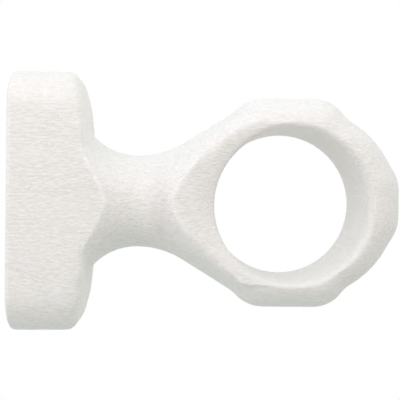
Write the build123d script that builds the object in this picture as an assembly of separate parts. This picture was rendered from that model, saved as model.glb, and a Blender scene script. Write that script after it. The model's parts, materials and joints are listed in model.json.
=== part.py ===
from build123d import *
import os
from math import asin, cos, degrees, radians, sin, tan

# Curtain rod bracket, cut from one thick board, turned at the neck and drilled for the pole.
# Millimetres. X runs from the wall into the room, Y along the pole and Z up.
# The origin is the centre of the face that lies on the wall.

# Board
THICKNESS = 27.4  # between the two flat faces

# Wall plate
PLATE_HEIGHT = 65.5
PLATE_DEPTH = 18.8
PLATE_END_ROUNDING = 10.3  # rounding from front to back at the top and bottom ends
PLATE_EASING_HEIGHT = 14.0  # the room side leans back over this height from each end
PLATE_EASING_RADIUS = 35.0
PLATE_CORNER_RADIUS = 3.0  # corners on the room side
WALL_CHAMFER = 0.6  # around the face that lies on the wall

# Blind pilot hole in the wall face
PILOT_RADIUS = 2.5
PILOT_DEPTH = 20.0
DRILL_POINT_ANGLE = 118.0

# Neck, turned about the X axis
WAIST_RADIUS = 11.7
WAIST_REACH = 12.6  # from the plate's room face to the waist
FOOT_RADIUS = 18.0  # where the neck meets the plate
FLARE_COVE_RADIUS = 22.0
FLARE_ANGLE = 31.8  # straight flare, measured from the axis
SHOULDER_RADIUS = 24.0  # where the flare ends

# Ring
RING_REACH = 37.9  # from the waist to the bore's axis
BORE_DROP = 0.7  # the bore lies this far below the neck's axis
BORE_RADIUS = 18.7  # clears a 35 mm pole
LEAD_IN = 1.2  # how much wider the bore is where it meets a flat face
LEAD_IN_DEPTH = 1.5
RING_RADIUS = 23.9
RING_SHIFT = 3.5  # the ring's outer round is centred this far beyond the bore
RING_ROUNDING = 8.5  # rounding of the ring's outer edges, pads included

# Pads left proud of the ring, seen along the pole
PAD_HEIGHT = 26.2  # above and below the neck's axis
PAD_WIDTH = 21.2
PAD_SIDE_ANGLE = 52.0
PAD_SIDE_DROP = 7.0  # how far its slanted sides go down towards the ring
END_PAD_REACH = 27.7  # beyond the bore's axis
END_PAD_WIDTH = 12.5
END_PAD_SIDE_ANGLE = 33.0
END_PAD_SIDE_DROP = 3.5
PAD_SHOULDER_RADIUS = 9.0  # touched by each pad's top, its slanted side and the flat between

# Dished easing between the neck and the bore, on both faces
DISH_SHIFT = 7.2  # its axis, towards the wall from the bore's
DISH_RADIUS = 21.0
DISH_ROUNDING = 19.4
DISH_TURN = 35.0  # how far its arc turns down into the bore, in degrees
DISH_OVERRUN = 0.04  # how far its arc starts outside the flat face

TOOL_OVERRUN = 2.0  # how far a cutter runs past the faces it cuts

# Places worked out from the sizes above
FACE = THICKNESS / 2
WAIST_X = PLATE_DEPTH + WAIST_REACH
BORE_X = WAIST_X + RING_REACH
BORE_PLACE = Pos(BORE_X, 0, -BORE_DROP)


def wall_plate():
    """Rounded block: its end view and its side view, crossed."""
    end_view = Plane.YZ * RectangleRounded(THICKNESS, PLATE_HEIGHT, PLATE_END_ROUNDING)
    end = PLATE_HEIGHT / 2
    straight = end - PLATE_EASING_HEIGHT
    reach = PLATE_EASING_RADIUS - PLATE_CORNER_RADIUS
    turn = degrees(asin((PLATE_EASING_HEIGHT - PLATE_CORNER_RADIUS) / reach))
    easing_centre = (PLATE_DEPTH - PLATE_EASING_RADIUS, straight)
    corner_x = PLATE_DEPTH - PLATE_EASING_RADIUS + reach * cos(radians(turn))
    corner_centre = (corner_x, end - PLATE_CORNER_RADIUS)
    upper = [
        CenterArc(easing_centre, PLATE_EASING_RADIUS, 0, turn),
        CenterArc(corner_centre, PLATE_CORNER_RADIUS, turn, 90 - turn),
        Line((corner_x, end), (0, end)),
    ]
    outline = upper + [mirror(line, Plane.XZ) for line in upper]
    outline += [
        Line((0, end), (0, -end)),
        Line((PLATE_DEPTH, -straight), (PLATE_DEPTH, straight)),
    ]
    side_view = Plane.XZ * make_face(outline)
    plate = extrude(end_view, PLATE_DEPTH) & extrude(side_view, FACE, both=True)
    wall_face = plate.faces().sort_by(Axis.X)[0]
    return chamfer(wall_face.edges(), WALL_CHAMFER)


def turned_neck():
    """Cove, waist, cove and straight flare, turned about the X axis and cut by the flat faces."""
    foot_rise = FOOT_RADIUS - WAIST_RADIUS
    foot_cove_radius = (WAIST_REACH**2 + foot_rise**2) / (2 * foot_rise)
    foot_turn = degrees(asin(WAIST_REACH / foot_cove_radius))
    flare_x = WAIST_X + FLARE_COVE_RADIUS * sin(radians(FLARE_ANGLE))
    flare_radius = WAIST_RADIUS + FLARE_COVE_RADIUS * (1 - cos(radians(FLARE_ANGLE)))
    shoulder_x = flare_x + (SHOULDER_RADIUS - flare_radius) / tan(radians(FLARE_ANGLE))
    foot_centre = (WAIST_X, WAIST_RADIUS + foot_cove_radius)
    flare_centre = (WAIST_X, WAIST_RADIUS + FLARE_COVE_RADIUS)
    profile = [
        Line((PLATE_DEPTH / 2, 0), (PLATE_DEPTH / 2, FOOT_RADIUS)),
        Line((PLATE_DEPTH / 2, FOOT_RADIUS), (PLATE_DEPTH, FOOT_RADIUS)),
        CenterArc(foot_centre, foot_cove_radius, 270 - foot_turn, foot_turn),
        CenterArc(flare_centre, FLARE_COVE_RADIUS, 270, FLARE_ANGLE),
        Line((flare_x, flare_radius), (shoulder_x, SHOULDER_RADIUS)),
        Line((shoulder_x, SHOULDER_RADIUS), (BORE_X, SHOULDER_RADIUS)),
        Line((BORE_X, SHOULDER_RADIUS), (BORE_X, 0)),
        Line((BORE_X, 0), (PLATE_DEPTH / 2, 0)),
    ]
    turned = revolve(make_face(profile), Axis.X)
    board_end = Plane.YZ * Rectangle(THICKNESS, 2 * (SHOULDER_RADIUS + TOOL_OVERRUN))
    return turned & extrude(board_end, BORE_X + TOOL_OVERRUN)


def ring_body():
    """Disc about the ring's own centre, with rounded outer edges."""
    section = Pos(RING_RADIUS / 2, 0) * Rectangle(RING_RADIUS, THICKNESS)
    section = fillet(section.vertices().group_by(Axis.X)[-1], RING_ROUNDING)
    return Pos(BORE_X + RING_SHIFT, 0, 0) * revolve(section, Axis.Y)


def rounded_slab(reach, angle=0.0):
    """Slab whose far side lies at reach from the origin, tilted from Z, with both edges rounded."""
    section = Rectangle(THICKNESS, 2 * reach)
    section = Plane.YZ * fillet(section.vertices().group_by(Axis.Y)[-1], RING_ROUNDING)
    return Rot(0, angle, 0) * extrude(section, 2 * reach, both=True)


def pad(reach, width, side_angle, side_drop):
    """Pad that stands up to reach along Z. A flat turns its top down to each slanted side."""
    spread = width / 2 + side_drop / tan(radians(side_angle))
    body = extrude(Rectangle(2 * spread, THICKNESS), reach) & rounded_slab(reach)
    shoulder_x = width / 2 - PAD_SHOULDER_RADIUS * tan(radians(side_angle / 2))
    shoulder_z = reach - PAD_SHOULDER_RADIUS
    for angle in (side_angle / 2, side_angle):
        lean = radians(angle)
        slab_reach = PAD_SHOULDER_RADIUS + shoulder_x * sin(lean) + shoulder_z * cos(lean)
        body = body & rounded_slab(slab_reach, angle) & rounded_slab(slab_reach, -angle)
    return body


def pads():
    """Pads above, below and beyond the bore."""
    top = pad(PAD_HEIGHT, PAD_WIDTH, PAD_SIDE_ANGLE, PAD_SIDE_DROP)
    end = pad(END_PAD_REACH, END_PAD_WIDTH, END_PAD_SIDE_ANGLE, END_PAD_SIDE_DROP)
    place = Pos(BORE_X, 0, 0)
    return place * top + place * mirror(top, Plane.XY) + place * Rot(0, 90, 0) * end


def bore_tool():
    """Straight bore that widens to a lead-in at each face, turned about the bore's axis."""
    straight = FACE - LEAD_IN_DEPTH
    end = FACE + TOOL_OVERRUN
    mouth = BORE_RADIUS + LEAD_IN * (1 + TOOL_OVERRUN / LEAD_IN_DEPTH)
    outline = [(0, end), (mouth, end), (BORE_RADIUS, straight)]
    outline += [(radius, -y) for radius, y in reversed(outline)]
    profile = make_face(Polyline(*outline, close=True))
    return BORE_PLACE * revolve(profile, Axis.Y)


def dish_tool():
    """Cutter that rounds the face between the neck and the bore down into the bore."""
    centre_depth = FACE + DISH_OVERRUN - DISH_ROUNDING
    arc = CenterArc((DISH_RADIUS, centre_depth), DISH_ROUNDING, 90, DISH_TURN)
    inner = arc @ 1
    outside = FACE + TOOL_OVERRUN
    profile = [
        arc,
        Line(inner, (0, inner.Y)),
        Line((0, inner.Y), (0, outside)),
        Line((0, outside), (DISH_RADIUS, outside)),
        Line((DISH_RADIUS, outside), arc @ 0),
    ]
    back = BORE_PLACE * Pos(-DISH_SHIFT, 0, 0) * revolve(make_face(profile), Axis.Y)
    return back + mirror(back, Plane.XZ)


def pilot_tool():
    """Drilled blind hole with a cone at its end."""
    point = PILOT_RADIUS / tan(radians(DRILL_POINT_ANGLE / 2))
    profile = Polyline(
        (-TOOL_OVERRUN, 0),
        (-TOOL_OVERRUN, PILOT_RADIUS),
        (PILOT_DEPTH, PILOT_RADIUS),
        (PILOT_DEPTH + point, 0),
        close=True,
    )
    return revolve(make_face(profile), Axis.X)


def bracket_body():
    """The whole bracket as one piece of wood."""
    body = wall_plate() + turned_neck() + ring_body() + pads()
    return body - dish_tool() - bore_tool() - pilot_tool()


if __name__ == "__main__":
    os.makedirs("parts", exist_ok=True)
    export_step(bracket_body(), "parts/bracket_body.step")
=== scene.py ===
import json
from math import radians

import bmesh
import bpy
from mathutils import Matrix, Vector
from mathutils.kdtree import KDTree


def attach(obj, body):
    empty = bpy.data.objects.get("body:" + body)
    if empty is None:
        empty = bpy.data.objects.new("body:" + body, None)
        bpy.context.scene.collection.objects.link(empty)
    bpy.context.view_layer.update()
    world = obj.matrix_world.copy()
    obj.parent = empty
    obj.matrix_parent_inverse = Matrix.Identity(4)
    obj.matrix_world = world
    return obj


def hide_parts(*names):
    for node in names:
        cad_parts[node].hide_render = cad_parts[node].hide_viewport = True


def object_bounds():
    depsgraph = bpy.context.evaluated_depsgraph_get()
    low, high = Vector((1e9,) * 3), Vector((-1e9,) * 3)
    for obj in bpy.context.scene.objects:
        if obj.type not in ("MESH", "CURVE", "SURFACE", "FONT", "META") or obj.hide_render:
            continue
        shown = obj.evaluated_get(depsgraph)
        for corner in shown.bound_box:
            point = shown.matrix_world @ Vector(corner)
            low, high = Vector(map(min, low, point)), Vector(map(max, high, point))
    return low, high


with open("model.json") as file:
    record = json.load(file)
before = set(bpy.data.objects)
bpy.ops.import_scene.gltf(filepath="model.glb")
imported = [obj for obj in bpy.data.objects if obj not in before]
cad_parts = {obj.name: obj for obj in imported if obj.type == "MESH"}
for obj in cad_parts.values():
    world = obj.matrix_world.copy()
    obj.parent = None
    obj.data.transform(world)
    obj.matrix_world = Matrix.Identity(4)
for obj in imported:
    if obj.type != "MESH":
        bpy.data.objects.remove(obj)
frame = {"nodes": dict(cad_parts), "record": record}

bl_info = {
    "name": "Curtain Rod Bracket",
    "version": (1, 0, 0),
    "blender": (4, 5, 0),
    "location": "View3D > Sidebar > Bracket",
    "description": "White painted wooden curtain rod bracket and the studio it is shown in",
    "category": "Add Mesh",
}

CAD_BOX = [list(corner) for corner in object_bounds()]
MILLIMETRE = 0.001
MERGE_DISTANCE = 0.001 * MILLIMETRE
FACE_TOLERANCE = 0.05 * MILLIMETRE  # corners this close to the outermost ones lie on a flat face
FLOOR_SIDES = 96
SENSOR_WIDTH = 36.0  # in millimetres, as Blender's lens is
CLIP_START = 10 * MILLIMETRE

# Noise values between these two are spread over the whole range, which sets the contrast
RING_NOISE = (0.35, 0.68)
STREAK_NOISE = (0.28, 0.72)
PORE_NOISE = (0.58, 0.74)
EVEN_NOISE = (0.3, 0.7)  # stipple, painted shade in the neck's cove and patches of painted highlight on the edges
NOISE_MEAN = (0.5, 0.5, 0.5)


# Kinds of setting


def length(name, description, millimetres, **limits):
    return bpy.props.FloatProperty(
        name=name,
        description=description,
        default=millimetres * MILLIMETRE,
        unit="LENGTH",
        precision=5,
        **limits,
    )


def lengths(name, description, *millimetres):
    return bpy.props.FloatVectorProperty(
        name=name,
        description=description,
        default=[value * MILLIMETRE for value in millimetres],
        size=len(millimetres),
        unit="LENGTH",
        precision=5,
    )


def passes(name, description, default):
    return bpy.props.IntProperty(name=name, description=description, default=default, min=0)


def angle(name, description, degrees):
    return bpy.props.FloatProperty(
        name=name,
        description=description,
        default=radians(degrees),
        subtype="ANGLE",
        unit="ROTATION",
    )


def share(name, description, default):
    return bpy.props.FloatProperty(
        name=name, description=description, default=default, subtype="FACTOR", min=0, max=1
    )


def ratio(name, description, default):
    return bpy.props.FloatProperty(name=name, description=description, default=default, min=0)


def shares(name, description, first, second):
    return bpy.props.FloatVectorProperty(
        name=name, description=description, default=(first, second), size=2, min=0, max=1
    )


def solid_color(name, description, color):
    return bpy.props.FloatVectorProperty(
        name=name, description=description, default=color, subtype="COLOR", min=0, max=1
    )


def glow(name, color):
    return bpy.props.FloatVectorProperty(
        name=name,
        description="Linear colour of this part of the sky's light",
        default=color,
        subtype="COLOR",
        min=0,
        soft_max=2,
    )


def lamp_power(name, watts):
    return bpy.props.FloatProperty(
        name=name, description="Power of this large soft lamp", default=watts, unit="POWER"
    )


# Settings


class BracketWoodSettings(bpy.types.PropertyGroup):
    """How the bare wood is finished before it is painted."""

    face_size: length(
        "Face size",
        "Size of the faces that the sanded surface is made of",
        0.47,
        min=0.46 * MILLIMETRE,
    )
    sanding_passes: passes(
        "Sanding passes",
        "How often the whole surface is smoothed, which takes the sharpness off its edges",
        3,
    )
    easing_passes: passes(
        "Easing passes",
        "How often the plate's room side and the ring's outside are smoothed after that",
        31,
    )
    plate_easing: lengths(
        "Plate easing",
        "From and to this distance from the wall, outside the neck, the plate is eased",
        6.0,
        19.2,
    )
    corner_passes: passes(
        "Corner passes",
        "How often the plate's four room side corners are smoothed last",
        64,
    )
    plate_corner: lengths(
        "Plate corner",
        "Distance from the wall, and from the neck's axis, where those corners begin",
        7.0,
        19.0,
    )
    plate_core: length(
        "Plate core",
        "Half the thickness of the plate's middle, where its corners are left alone",
        7.5,
    )
    neck_foot: length("Neck foot", "Radius of the neck where it meets the plate", 18.3)
    # Past the rim width the ring is eased and its sharp edges get a painted highlight; the edge
    # angle and edge width choose where that painted highlight lies
    rim_width: length(
        "Rim width",
        "The ring is eased, and its edges are rubbed, further than this from the bore's wall",
        3.6,
    )
    edge_angle: angle("Edge angle", "Edges that turn more than this are rubbed bright", 14)
    edge_width: length(
        "Edge width", "How far the rubbed line reaches to each side of an edge", 0.75
    )


class BracketPaintSettings(bpy.types.PropertyGroup):
    """White paint, thin enough for the grain to show."""

    paint: solid_color("Paint", "Colour of the paint", (0.875, 0.85, 0.833))
    grain: solid_color(
        "Grain", "Colour of the grain where it shows through the paint", (0.62, 0.575, 0.545)
    )
    # Colour of the painted highlight on the sharp edges and the neck's waist
    highlit: solid_color(
        "Rubbed paint", "Colour of the paint where it is rubbed bright", (0.95, 0.94, 0.93)
    )
    roughness: shares("Roughness", "Roughness of smooth and of stippled paint", 0.5, 0.62)
    relief: length("Relief", "Depth of the streaks in the paint's surface", 0.06)

    # The grain strength also sets how dark the painted shade in the neck's cove is
    grain_strength: share(
        "Grain strength", "How strongly streaks, pores, stipple and marks show", 0.35
    )
    drift_length: length("Drift length", "Length over which the grain wanders", 40.0)
    drift: length("Drift", "How wide the band is in which the grain wanders", 3.0)
    streak_length: length("Streak length", "Length of the fine streaks, along the board", 1.7)
    streak_width: length("Streak width", "Width of the fine streaks, across the board", 0.55)
    ring_size: lengths(
        "Ring size", "Length and width of the growth rings' darker and lighter bands", 23.8, 4.95
    )
    ring_strength: shares(
        "Ring strength", "How strongly the streaks show in the lighter and darker bands", 0.7, 1.0
    )
    pore_strength: share("Pore strength", "How strongly the pores show", 0.4)
    stipple_length: length("Stipple length", "Length of the stipple, along the board", 1.0)
    stipple_strength: share("Stipple strength", "How strongly the stipple shows", 0.5)
    stipple_relief: ratio("Stipple relief", "How deep the stipple is beside the streaks", 2.5)

    flat_face: lengths(
        "Flat face",
        "From the first to the second distance from the board's middle the streaks grow",
        9.0,
        13.2,
    )
    streak_strength: shares(
        "Streak strength", "How strongly the streaks show on turned parts and flat faces", 0.4, 1.0
    )
    streaks_and_stipple: ratio(
        "Streaks and stipple", "What the streaks' and the stipple's strength add up to", 1.3
    )

    # Band of the neck's sides where the painted shade in its cove and the painted highlight on its
    # waist begin
    neck_sides: lengths(
        "Neck sides",
        "From the first to the second distance from the board's middle the neck's wear grows",
        8.5,
        11.0,
    )
    # Painted highlight on the neck's waist, between the plate and the ring
    waist_highlight: lengths(
        "Waist wear",
        "Distance from the wall of the neck's brighter, rubbed sides, and their reach",
        33.4,
        4.0,
    )
    waist_strength: share("Waist strength", "How bright the waist is rubbed", 0.2)
    # Painted shade in faint rings on the neck's cove, where it turns towards the ring: its place,
    # size and strength
    cove_shade_band: lengths(
        "Turning marks",
        "Distance from the wall of the lathe's faint marks on the neck, and their reach",
        37.2,
        3.4,
    )
    cove_shade_size: lengths("Mark size", "Size of the lathe's marks along X, Y and Z", 1.6, 30.0, 8.0)
    cove_shade_strength: shares("Mark strength", "Least and greatest strength of a mark", 0.2, 0.6)
    # Patches in which the painted highlight on the edges is brighter or fainter
    patch_size: length("Patch size", "Size of the patches in which an edge is rubbed", 1.2)
    patch_strength: shares(
        "Patch strength", "How bright the least and the most rubbed patches are", 0.25, 0.85
    )


class BracketStageSettings(bpy.types.PropertyGroup):
    """Floor, lamps, sky and camera."""

    floor_drop: length("Floor drop", "How far the floor lies below the neck's axis", 140)
    floor_radius: length("Floor radius", "Radius of the round floor", 260)
    floor_color: solid_color("Floor", "Colour of the floor as it is seen", (0.92, 0.89, 0.88))
    bounce: solid_color(
        "Bounce", "Colour of the floor as it throws light back up", (0.72, 0.75, 0.72)
    )
    left_power: lamp_power("Left lamp", 0.3)
    left_size: length("Left lamp's size", "Side of this square lamp", 220)
    left_place: lengths(
        "Left lamp's place", "From the middle of the bracket to this lamp", -150, -200, 150
    )
    right_power: lamp_power("Right lamp", 0.055)
    right_size: length("Right lamp's size", "Side of this square lamp", 140)
    right_place: lengths(
        "Right lamp's place", "From the middle of the bracket to this lamp", 50, -100, 120
    )
    glow_round: glow("Glow all round", (0.265, 0.145, 0.085))
    glow_above: glow("Glow from above", (0.28, 0.47, 0.55))
    glow_behind: glow("Glow from behind", (0.353, 0.436, 0.365))
    glow_ring: glow("Glow from the ring's side", (0.7, 0.8, 0.83))
    glow_wall: glow("Glow from the wall's side", (0.578, 0.691, 0.797))
    camera_place: lengths(
        "Camera place", "Where the camera stands, in front of the bracket", 41.46, -194, 3.44
    )
    camera_roll: angle("Camera roll", "Turn of the camera about its own view", -0.5)
    camera_lens: bpy.props.FloatProperty(
        name="Camera lens",
        description="Focal length of the camera, in millimetres",
        default=67.5,
        min=1,
        unit="CAMERA",
    )
    camera_shift: bpy.props.FloatVectorProperty(
        name="Camera shift",
        description="Sideways and upward shift of the lens, as a part of the picture's width",
        default=(0.0575, -0.03),
        size=2,
    )


# Wood


def merged_copy(node):
    """The node's mesh as a bmesh whose triangles are joined."""
    shell = bmesh.new()
    shell.from_mesh(node.data)
    bmesh.ops.remove_doubles(shell, verts=shell.verts, dist=MERGE_DISTANCE)
    return shell


def bore_rim(wood):
    """The bore's centre, and the radius past which the ring's outside begins."""
    bore = next(mount for mount in frame["record"]["mounts"] if mount["name"] == "pole_bore")
    return Vector(bore["pos_m"]), bore["dims"]["r_mm"] * MILLIMETRE + wood.rim_width


def edge_points(shell, wood):
    """Points along the flat faces' sharp outward edges, apart from those at the bore."""
    axis, rim = bore_rim(wood)
    face = max(corner.co.y for corner in shell.verts) - FACE_TOLERANCE
    points = []
    for edge in shell.edges:
        start, end = (corner.co for corner in edge.verts)
        on_flat_face = abs(start.y) > face and abs(end.y) > face
        if not on_flat_face or not edge.is_convex or edge.calc_face_angle() < wood.edge_angle:
            continue
        steps = 1 + int((end - start).length / wood.face_size)
        points += [start.lerp(end, step / steps) for step in range(steps + 1)]
    return [point for point in points if (point - axis).xz.length > rim]


def smooth(sanded, corners, count):
    """Smooths the given points of the surface, this many times."""
    for _ in range(count):
        bmesh.ops.smooth_vert(
            sanded,
            verts=corners,
            factor=0.5,
            use_axis_x=True,
            use_axis_y=True,
            use_axis_z=True,
        )


def eased_corners(sanded, wood):
    """Points on the plate's room side and on the ring's outside, where hands and cloths rub."""
    axis, rim = bore_rim(wood)
    plate_from, plate_to = wood.plate_easing
    eased = []
    for corner in sanded.verts:
        place = corner.co
        on_plate = plate_from < place.x < plate_to and place.yz.length > wood.neck_foot
        on_ring = place.x > axis.x - rim and (place - axis).xz.length > rim
        if on_plate or on_ring:
            eased.append(corner)
    return eased


def plate_corners(sanded, wood):
    """Points at the plate's four corners on the room side, apart from the plate's core."""
    out, up = wood.plate_corner
    corners = []
    for corner in sanded.verts:
        place = corner.co
        at_end = out < place.x < wood.plate_easing[1] and abs(place.z) > up
        if at_end and abs(place.y) > wood.plate_core:
            corners.append(corner)
    return corners


def sanded_piece(shell, name, wood):
    """New object with the shell's shape, in even faces and smoothed."""
    piece = bpy.data.objects.new(name, bpy.data.meshes.new(name))
    shell.to_mesh(piece.data)
    bpy.context.scene.collection.objects.link(piece)
    remesh = piece.modifiers.new("Even faces", "REMESH")
    remesh.mode = "VOXEL"
    remesh.voxel_size = wood.face_size
    bpy.context.view_layer.update()
    graph = bpy.context.evaluated_depsgraph_get()
    even = bpy.data.meshes.new_from_object(piece.evaluated_get(graph))
    piece.modifiers.clear()
    sanded = bmesh.new()
    sanded.from_mesh(even)
    smooth(sanded, sanded.verts, wood.sanding_passes)
    smooth(sanded, eased_corners(sanded, wood), wood.easing_passes)
    smooth(sanded, plate_corners(sanded, wood), wood.corner_passes)
    for face in sanded.faces:
        face.smooth = True
    sanded.to_mesh(piece.data)
    sanded.free()
    bpy.data.meshes.remove(even)
    return piece


def mark_edges(piece, points, width):
    """Writes the painted highlight's attribute: 1 on the given points, falling to 0 at the width.
    """
    near = KDTree(len(points))
    for index, point in enumerate(points):
        near.insert(point, index)
    near.balance()
    highlit = piece.data.attributes.new("highlit", "FLOAT", "POINT")
    for corner in piece.data.vertices:
        distance = near.find(corner.co)[2]
        highlit.data[corner.index].value = max(0.0, 1 - distance / width)


# Paint


class NodeMaker:
    """Adds nodes to one tree. A socket takes a value, or a link to another node's output."""

    def __init__(self, tree):
        self.tree = tree
        tree.nodes.clear()

    def add(self, kind, sockets=None, **settings):
        node = self.tree.nodes.new(kind)
        for name, value in settings.items():
            setattr(node, name, value)
        for name, value in (sockets or {}).items():
            if isinstance(value, bpy.types.NodeSocket):
                self.tree.links.new(value, node.inputs[name])
            else:
                node.inputs[name].default_value = value
        return node

    def math(self, operation, first, second):
        return self.add("ShaderNodeMath", {0: first, 1: second}, operation=operation).outputs[0]

    def vector(self, operation, first, second):
        node = self.add("ShaderNodeVectorMath", {0: first, 1: second}, operation=operation)
        return node.outputs[0]

    def between(self, value, low, high, to_low=0.0, to_high=1.0):
        """Smooth step of the value from low to high."""
        sockets = {
            "Value": value,
            "From Min": low,
            "From Max": high,
            "To Min": to_low,
            "To Max": to_high,
        }
        node = self.add("ShaderNodeMapRange", sockets, interpolation_type="SMOOTHSTEP")
        return node.outputs[0]

    def near(self, value, centre, reach):
        """1 at the centre, and 0 further than the reach from it."""
        away = self.math("ABSOLUTE", self.math("SUBTRACT", value, centre), 0.0)
        return self.between(away, 0.0, reach, 1.0, 0.0)

    def mix(self, weight, first, second):
        """Two colours mixed. In a Mix node their sockets are 6 and 7, and the result's is 2."""
        node = self.add("ShaderNodeMix", {0: weight, 6: first, 7: second}, data_type="RGBA")
        return node.outputs[2]

    def noise(self, place, period, detail):
        """Noise whose features are about one period long on each axis, in metres."""
        stretched = self.vector("DIVIDE", place, period)
        sockets = {"Vector": stretched, "Scale": 1.0, "Detail": detail}
        return self.add("ShaderNodeTexNoise", sockets)


def opaque(color):
    """The colour as a node's socket takes it, with a fourth number for its opacity."""
    return (*color, 1.0)


def grain_place(make, place, paint):
    """Object coordinates that wander a little off the board's own line, as the grain does."""
    drift = make.noise(place, (paint.drift_length,) * 3, detail=1.0).outputs["Color"]
    drift = make.vector("SUBTRACT", drift, NOISE_MEAN)
    drift = make.vector("MULTIPLY", drift, (0, paint.drift, paint.drift))
    return make.vector("ADD", place, drift)


def streaks_and_pores(make, along, paint):
    """Fine streaks, stronger in the growth rings' darker bands, and pores a third as long."""
    long, wide = paint.streak_length, paint.streak_width
    ring_long, ring_wide = paint.ring_size
    rings = make.noise(along, (ring_long, ring_wide, ring_wide), detail=2.0).outputs[0]
    rings = make.between(rings, *RING_NOISE, *paint.ring_strength)
    streaks = make.noise(along, (long, wide, wide), detail=2.0).outputs[0]
    streaks = make.math("MULTIPLY", make.between(streaks, *STREAK_NOISE), rings)
    pores = make.noise(along, (long / 3, wide, wide), detail=1.0).outputs[0]
    return streaks, make.between(pores, *PORE_NOISE)


def painted_cove_shade(make, place, paint):
    """Painted shade in faint uneven rings round the neck."""
    cove_shade = make.noise(place, paint.cove_shade_size, detail=0.0).outputs[0]
    return make.between(cove_shade, *EVEN_NOISE, *paint.cove_shade_strength)


def painted_edge_highlights(make, place, paint):
    """Painted highlight on the marked edges, brighter in some patches than others."""
    highlit = make.add("ShaderNodeAttribute", attribute_name="highlit").outputs["Fac"]
    patches = make.noise(place, (paint.patch_size,) * 3, detail=2.0).outputs[0]
    patches = make.between(patches, *EVEN_NOISE, *paint.patch_strength)
    return make.math("MULTIPLY", highlit, patches)


def white_painted_wood(paint):
    """Thin white paint on wood whose grain runs along X, with a painted highlight on its sharp
    edges and waist and painted shade in the neck's cove.
    """
    material = bpy.data.materials.new("white_painted_wood")
    material.use_nodes = True
    make = NodeMaker(material.node_tree)
    place = make.add("ShaderNodeTexCoord").outputs["Object"]
    axes = make.add("ShaderNodeSeparateXYZ", {0: place}).outputs
    depth = make.math("ABSOLUTE", axes["Y"], 0.0)

    # The streaks show best on the flat faces, and the stipple on the turned parts
    streaks, pores = streaks_and_pores(make, grain_place(make, place, paint), paint)
    stipple_size = (paint.stipple_length, paint.streak_width, paint.streak_width)
    stipple = make.noise(place, stipple_size, detail=2.0).outputs[0]
    stipple = make.between(stipple, *EVEN_NOISE)
    flat = make.between(depth, *paint.flat_face, *paint.streak_strength)
    turned = make.math("SUBTRACT", paint.streaks_and_stipple, flat)
    streaks = make.math("MULTIPLY", streaks, flat)
    stipple = make.math("MULTIPLY", stipple, turned)

    # On the neck's sides, painted shade darkens the cove where the neck starts to widen, and a
    # painted highlight brightens the waist
    neck_sides = make.between(depth, *paint.neck_sides)
    cove_band = make.math("MULTIPLY", make.near(axes["X"], *paint.cove_shade_band), neck_sides)
    cove_shade = make.math("MULTIPLY", painted_cove_shade(make, place, paint), cove_band)
    # Painted highlight on the waist
    waist = make.math("MULTIPLY", make.near(axes["X"], *paint.waist_highlight), neck_sides)

    shown = make.math("ADD", streaks, make.math("MULTIPLY", pores, paint.pore_strength))
    shown = make.math("ADD", shown, make.math("MULTIPLY", stipple, paint.stipple_strength))
    # Painted shade in the neck's cove, towards the grain colour
    shown = make.math("ADD", shown, cove_shade)
    shown = make.math("MULTIPLY", shown, paint.grain_strength)
    color = make.mix(shown, opaque(paint.paint), opaque(paint.grain))
    # Painted highlight along the sharp edges
    color = make.mix(painted_edge_highlights(make, place, paint), color, opaque(paint.highlit))
    # Strength of the painted highlight on the waist
    painted_waist_highlight = make.math("MULTIPLY", waist, paint.waist_strength)
    color = make.mix(painted_waist_highlight, color, opaque(paint.highlit))

    roughness = make.between(stipple, 0.0, 1.0, *paint.roughness)
    raised = make.math("MULTIPLY", stipple, -paint.stipple_relief)
    height = make.math("SUBTRACT", raised, streaks)
    bump = make.add("ShaderNodeBump", {"Height": height, "Distance": paint.relief})
    shader = make.add(
        "ShaderNodeBsdfPrincipled",
        {"Base Color": color, "Roughness": roughness, "Normal": bump.outputs[0]},
    )
    make.add("ShaderNodeOutputMaterial", {"Surface": shader.outputs[0]})
    return material


class BRACKET_OT_body(bpy.types.Operator):
    """Makes the bracket: the sanded, white painted wooden body"""

    bl_idname = "bracket.body"
    bl_label = "Bracket Body"

    def execute(self, context):
        wood = context.scene.bracket_wood
        shell = merged_copy(frame["nodes"]["bracket_body"])
        points = edge_points(shell, wood)
        if not points:
            raise RuntimeError("the body has no edges to rub")
        piece = sanded_piece(shell, "bracket_wood", wood)
        shell.free()
        # The painted highlight's mask, along the sharp edges
        mark_edges(piece, points, wood.edge_width)
        piece.data.materials.append(white_painted_wood(context.scene.bracket_paint))
        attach(piece, "root")
        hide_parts("bracket_body")
        return {"FINISHED"}


# Stage


def floor(stage, centre):
    """Round pale floor, well below the bracket."""
    disc = bmesh.new()
    bmesh.ops.create_circle(disc, cap_ends=True, segments=FLOOR_SIDES, radius=stage.floor_radius)
    bmesh.ops.translate(disc, verts=disc.verts, vec=(centre.x, centre.y, -stage.floor_drop))
    mesh = bpy.data.meshes.new("floor")
    disc.to_mesh(mesh)
    disc.free()
    piece = bpy.data.objects.new("floor", mesh)
    bpy.context.scene.collection.objects.link(piece)
    material = bpy.data.materials.new("pale_floor")
    material.use_nodes = True
    make = NodeMaker(material.node_tree)
    seen = make.add("ShaderNodeLightPath").outputs["Is Camera Ray"]
    color = make.mix(seen, opaque(stage.bounce), opaque(stage.floor_color))
    shader = make.add("ShaderNodeBsdfDiffuse", {"Color": color})
    make.add("ShaderNodeOutputMaterial", {"Surface": shader.outputs[0]})
    mesh.materials.append(material)


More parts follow.
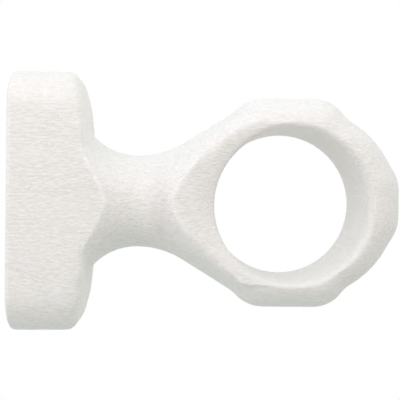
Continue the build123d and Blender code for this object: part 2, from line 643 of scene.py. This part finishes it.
def sky(stage):
    """White where it is seen, with a glow of its own colour from each side where it lights."""
    world = bpy.data.worlds.new("studio")
    world.use_nodes = True
    make = NodeMaker(world.node_tree)
    direction = make.add("ShaderNodeTexCoord").outputs["Generated"]
    axes = make.add("ShaderNodeSeparateXYZ", {0: direction}).outputs
    sides = (
        ("X", 1.0, stage.glow_ring),
        ("X", -1.0, stage.glow_wall),
        ("Y", 1.0, stage.glow_behind),
        ("Z", 1.0, stage.glow_above),
    )
    glowing = stage.glow_round
    for axis, sign, color in sides:
        facing = make.math("MAXIMUM", make.math("MULTIPLY", axes[axis], sign), 0.0)
        glowing = make.vector("ADD", make.vector("MULTIPLY", facing, color), glowing)
    lighting = make.add("ShaderNodeBackground", {"Color": glowing})
    seen = make.add("ShaderNodeBackground", {"Color": (1, 1, 1, 1)})
    path = make.add("ShaderNodeLightPath").outputs
    shown = make.math("MAXIMUM", path["Is Camera Ray"], path["Is Glossy Ray"])
    shown = make.math("MAXIMUM", shown, path["Is Transmission Ray"])
    surface = make.add(
        "ShaderNodeMixShader", {0: shown, 1: lighting.outputs[0], 2: seen.outputs[0]}
    )
    make.add("ShaderNodeOutputWorld", {"Surface": surface.outputs[0]})
    bpy.context.scene.world = world


def soft_lamp(name, power, size, offset, target):
    """Square lamp that stands at the offset from its target and faces it."""
    lamp = bpy.data.lights.new(name, "AREA")
    lamp.energy = power
    lamp.size = size
    piece = bpy.data.objects.new(name, lamp)
    place = target + Vector(offset)
    piece.location = place
    piece.rotation_euler = (target - place).to_track_quat("-Z", "Y").to_euler()
    bpy.context.scene.collection.objects.link(piece)


def camera(stage):
    """Camera that looks along the pole."""
    lens = bpy.data.cameras.new("camera")
    lens.lens = stage.camera_lens
    lens.sensor_width = SENSOR_WIDTH
    lens.shift_x, lens.shift_y = stage.camera_shift
    lens.clip_start = CLIP_START
    piece = bpy.data.objects.new("camera", lens)
    piece.location = stage.camera_place
    piece.rotation_euler = (radians(90), stage.camera_roll, 0)
    bpy.context.scene.collection.objects.link(piece)
    bpy.context.scene.camera = piece


class BRACKET_OT_stage(bpy.types.Operator):
    """Sets the floor, the light and the camera round the bracket"""

    bl_idname = "bracket.stage"
    bl_label = "Bracket Stage"

    def execute(self, context):
        stage = context.scene.bracket_stage
        low, high = (Vector(corner) for corner in CAD_BOX)
        centre = (low + high) / 2
        floor(stage, centre)
        sky(stage)
        soft_lamp("left_lamp", stage.left_power, stage.left_size, stage.left_place, centre)
        soft_lamp("right_lamp", stage.right_power, stage.right_size, stage.right_place, centre)
        camera(stage)
        context.scene.view_settings.view_transform = "Standard"
        return {"FINISHED"}


class BRACKET_PT_panel(bpy.types.Panel):
    """Bracket, its paint and its stage"""

    bl_idname = "BRACKET_PT_panel"
    bl_label = "Curtain Rod Bracket"
    bl_space_type = "VIEW_3D"
    bl_region_type = "UI"
    bl_category = "Bracket"

    def draw(self, context):
        column = self.layout.column()
        for name in SETTINGS:
            settings = getattr(context.scene, name)
            for field in settings.bl_rna.properties:
                if field.identifier not in {"rna_type", "name"}:
                    column.prop(settings, field.identifier)
        column.operator(BRACKET_OT_body.bl_idname)
        column.operator(BRACKET_OT_stage.bl_idname)


SETTINGS = {
    "bracket_wood": BracketWoodSettings,
    "bracket_paint": BracketPaintSettings,
    "bracket_stage": BracketStageSettings,
}
CLASSES = (*SETTINGS.values(), BRACKET_OT_body, BRACKET_OT_stage, BRACKET_PT_panel)


def register():
    for kind in CLASSES:
        bpy.utils.register_class(kind)
    for name, kind in SETTINGS.items():
        setattr(bpy.types.Scene, name, bpy.props.PointerProperty(type=kind))


def unregister():
    for name in SETTINGS:
        delattr(bpy.types.Scene, name)
    for kind in reversed(CLASSES):
        bpy.utils.unregister_class(kind)


def main():
    register()
    bpy.ops.bracket.body()
    bpy.ops.bracket.stage()


if __name__ == "__main__":
    main()
